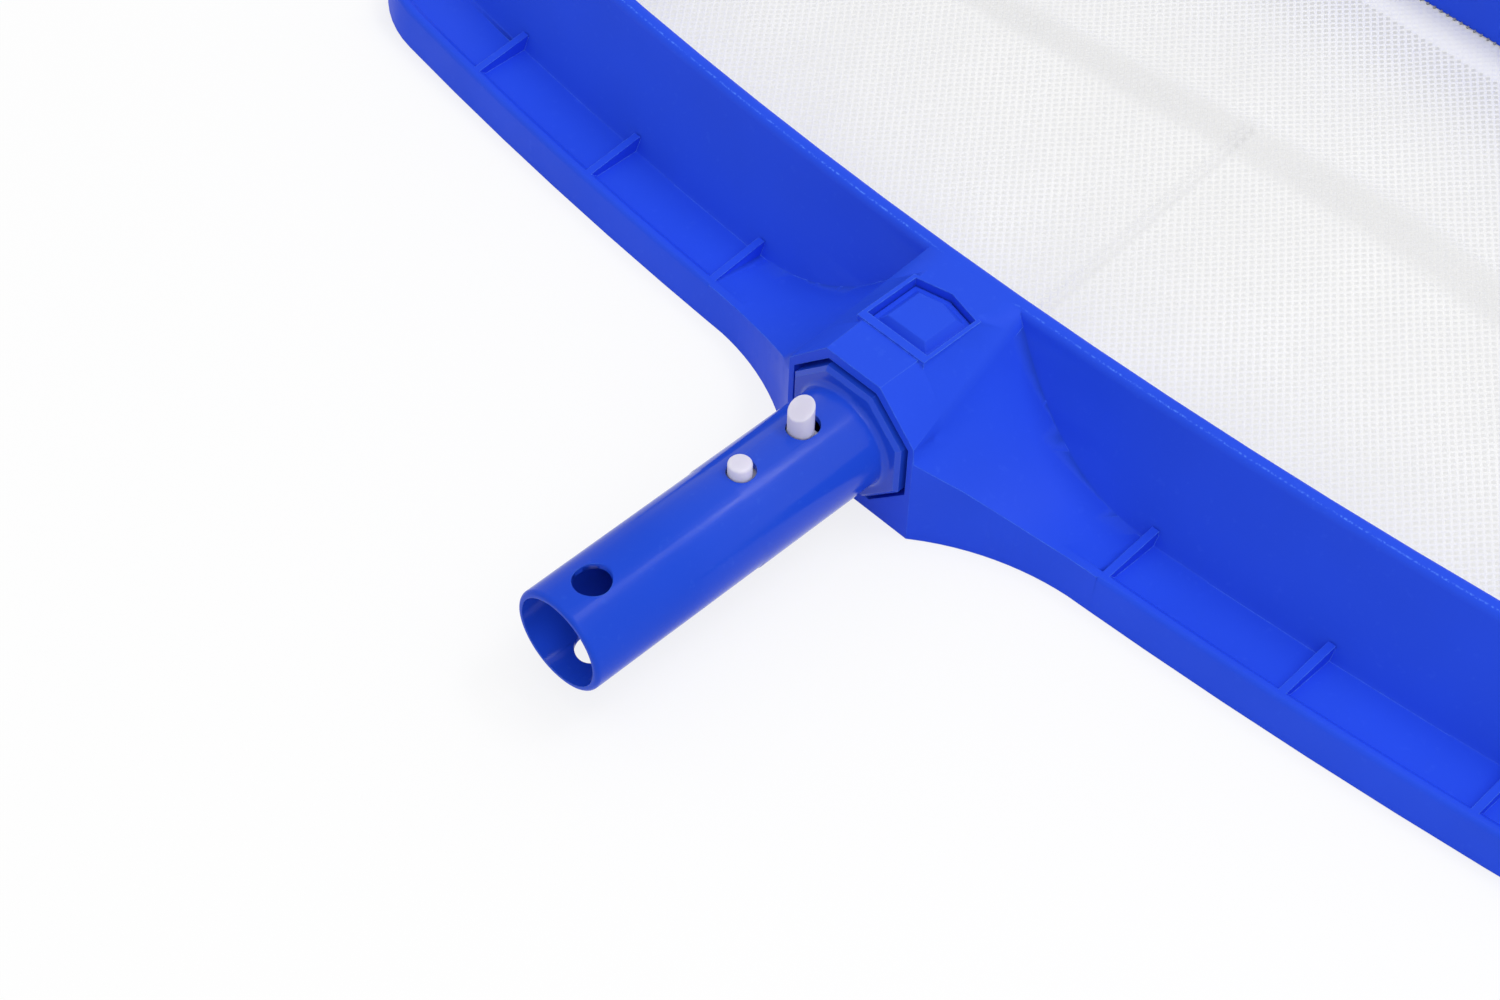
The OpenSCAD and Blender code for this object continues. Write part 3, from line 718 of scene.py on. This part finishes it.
class SKIMMER_OT_net(bpy.types.Operator):
    """Knits the net: a lattice of strands with open diamonds, folded as it was packed"""

    bl_idname = "skimmer.net"
    bl_label = "Net"

    def execute(self, context):
        settings = context.scene.skimmer_net
        half = Vector((settings.cell_width / 2, settings.cell_depth / 2))
        across, along = HALF_WIDTH / half.x, (FRONT_Y - SETBACK) / 2 / half.y
        count = math.ceil((across + along) * 1.02)
        count += count % 2
        net = bmesh.new()
        painted_crease_shade = net.verts.layers.float.new("painted_crease_shade")
        hem = net.verts.layers.float.new("hem")
        bmesh.ops.create_grid(net, x_segments=count, y_segments=count, size=0.5)
        lattice = Matrix((
            (half.x * count, half.x * count, 0, 0),
            (half.y * count, -half.y * count, 0, MIDDLE_Y),
            (0, 0, 1, NET_TOP - 0.3 * MM),
            (0, 0, 0, 1)))
        bmesh.ops.transform(net, matrix=lattice, verts=net.verts)
        outside = [f for f in net.faces
                   if inset_at(*f.calc_center_median().xy) < RAIL_WIDTH - WALL + 1 * MM]
        bmesh.ops.delete(net, geom=outside, context="FACES")

        cells = list(net.faces)
        hem_end = RAIL_WIDTH + settings.hem_width
        openings = [f for f in cells if inset_at(*f.calc_center_median().xy) >= hem_end]
        crossings = list(net.verts)
        bmesh.ops.inset_individual(
            net, faces=cells, thickness=settings.strand / 2, use_even_offset=True)
        bmesh.ops.delete(net, geom=openings, context="FACES_ONLY")
        for vertex in crossings:
            vertex.co.z += settings.ridge
        for vertex in net.verts:
            x, y = vertex.co.xy
            # How much shade is painted here along the folds.
            vertex[painted_crease_shade] = painted_crease_shade_at(x, y)
            # How strongly the warm tint against the wall's blue light is painted here.
            vertex[hem] = smooth_step(1.2 - (inset_at(x, y) - RAIL_WIDTH) / (18 * MM))
            vertex.co.z += net_rise(x, y, settings.fold)
        for face in net.faces:
            face.smooth = True
        bmesh.ops.recalc_face_normals(net, faces=net.faces)

        thread = knitted("net_thread", settings.thread_colour, folded=True)
        piece = finish_piece(net, "net_lattice", thread, "frame", ["net"])
        return {"FINISHED"}


class SKIMMER_OT_stage(bpy.types.Operator):
    """Sets the pale floor, the soft light and the camera"""

    bl_idname = "skimmer.stage"
    bl_label = "Stage"

    def execute(self, context):
        stage = context.scene.skimmer_stage
        context.scene.view_settings.view_transform = "Standard"
        self.add_floor(context.scene)
        self.add_sky(context.scene, stage.sky)
        self.add_softbox(context.scene, "overhead_softbox", (2.4, 2.4), stage.key,
                         Vector((0.8, -0.1, 2.1)))
        self.add_softbox(context.scene, "window_softbox", (0.6, 0.3), stage.window,
                         Vector((0.53, 0.55, 1.60)))
        self.add_camera(context.scene, stage)
        return {"FINISHED"}

    def add_floor(self, scene):
        """A wide disc just under the part."""
        disc = bmesh.new()
        bmesh.ops.create_circle(disc, cap_ends=True, segments=96, radius=6,
                                matrix=Matrix.Translation((0, 0, -0.2 * MM)))
        mesh = bpy.data.meshes.new("floor")
        disc.to_mesh(mesh)
        disc.free()
        mesh.materials.append(floor_material())
        floor = bpy.data.objects.new("floor", mesh)
        scene.collection.objects.link(floor)

    def add_sky(self, scene, strength):
        """Even light from all round, which the camera sees as white."""
        world = bpy.data.worlds.new("studio")
        scene.world = world
        world.use_nodes = True
        tree = world.node_tree
        background = tree.nodes["Background"]
        background.inputs["Color"].default_value = (1, 1, 1, 1)
        tree.links.new(ranged(tree, seen_directly(tree), 0, 1, strength, 1.0),
                       background.inputs["Strength"])

    def add_softbox(self, scene, name, size, power, place):
        """A lamp turned towards the part."""
        lamp = bpy.data.lights.new(name, "AREA")
        lamp.shape = "RECTANGLE"
        lamp.size, lamp.size_y = size
        lamp.energy = power
        softbox = bpy.data.objects.new(name, lamp)
        softbox.location = place
        aim = Vector((0, 0.05, 0)) - place
        softbox.rotation_euler = aim.to_track_quat("-Z", "Y").to_euler()
        scene.collection.objects.link(softbox)

    def add_camera(self, scene, stage):
        """The camera, from its place and its three turns."""
        lens = bpy.data.cameras.new("camera")
        lens.sensor_width = 36
        lens.lens = stage.lens
        lens.clip_start, lens.clip_end = 0.01, 50
        lens.shift_x, lens.shift_y = 0.00907, -0.00087
        turn, dip, roll = stage.camera_turn, stage.camera_dip, stage.camera_roll
        ahead = Vector((-math.sin(turn) * math.cos(dip), math.cos(turn) * math.cos(dip),
                        -math.sin(dip)))
        level = Vector((math.cos(turn), math.sin(turn), 0))
        upright = level.cross(ahead)
        right = level * math.cos(roll) + upright * math.sin(roll)
        up = upright * math.cos(roll) - level * math.sin(roll)
        turned = Matrix((right, up, -ahead)).transposed().to_4x4()
        camera = bpy.data.objects.new("camera", lens)
        camera.matrix_world = Matrix.Translation(Vector(stage.camera_place)) @ turned
        scene.collection.objects.link(camera)
        scene.camera = camera


OPERATORS = (SKIMMER_OT_hoop, SKIMMER_OT_adapter, SKIMMER_OT_clip, SKIMMER_OT_hem,
             SKIMMER_OT_net, SKIMMER_OT_stage)


class SKIMMER_PT_panel(bpy.types.Panel):
    """Lists the pieces and their settings"""

    bl_idname = "SKIMMER_PT_panel"
    bl_label = "Leaf skimmer net"
    bl_space_type = "VIEW_3D"
    bl_region_type = "UI"
    bl_category = "Skimmer"

    def draw(self, context):
        layout = self.layout
        for operator in OPERATORS:
            layout.operator(operator.bl_idname)
        for group in (context.scene.skimmer_plastic, context.scene.skimmer_net,
                      context.scene.skimmer_stage):
            box = layout.box()
            for name in group.__annotations__:
                box.prop(group, name)


CLASSES = (SkimmerPlasticSettings, SkimmerNetSettings, SkimmerStageSettings,
           *OPERATORS, SKIMMER_PT_panel)


def register():
    for c in CLASSES:
        bpy.utils.register_class(c)
    bpy.types.Scene.skimmer_plastic = PointerProperty(type=SkimmerPlasticSettings)
    bpy.types.Scene.skimmer_net = PointerProperty(type=SkimmerNetSettings)
    bpy.types.Scene.skimmer_stage = PointerProperty(type=SkimmerStageSettings)


def unregister():
    del bpy.types.Scene.skimmer_stage
    del bpy.types.Scene.skimmer_net
    del bpy.types.Scene.skimmer_plastic
    for c in reversed(CLASSES):
        bpy.utils.unregister_class(c)


def main():
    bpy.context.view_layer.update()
    register()
    bpy.ops.skimmer.hoop()
    bpy.ops.skimmer.adapter()
    bpy.ops.skimmer.clip()
    bpy.ops.skimmer.hem()
    bpy.ops.skimmer.net()
    bpy.ops.skimmer.stage()


if __name__ == "__main__":
    main()
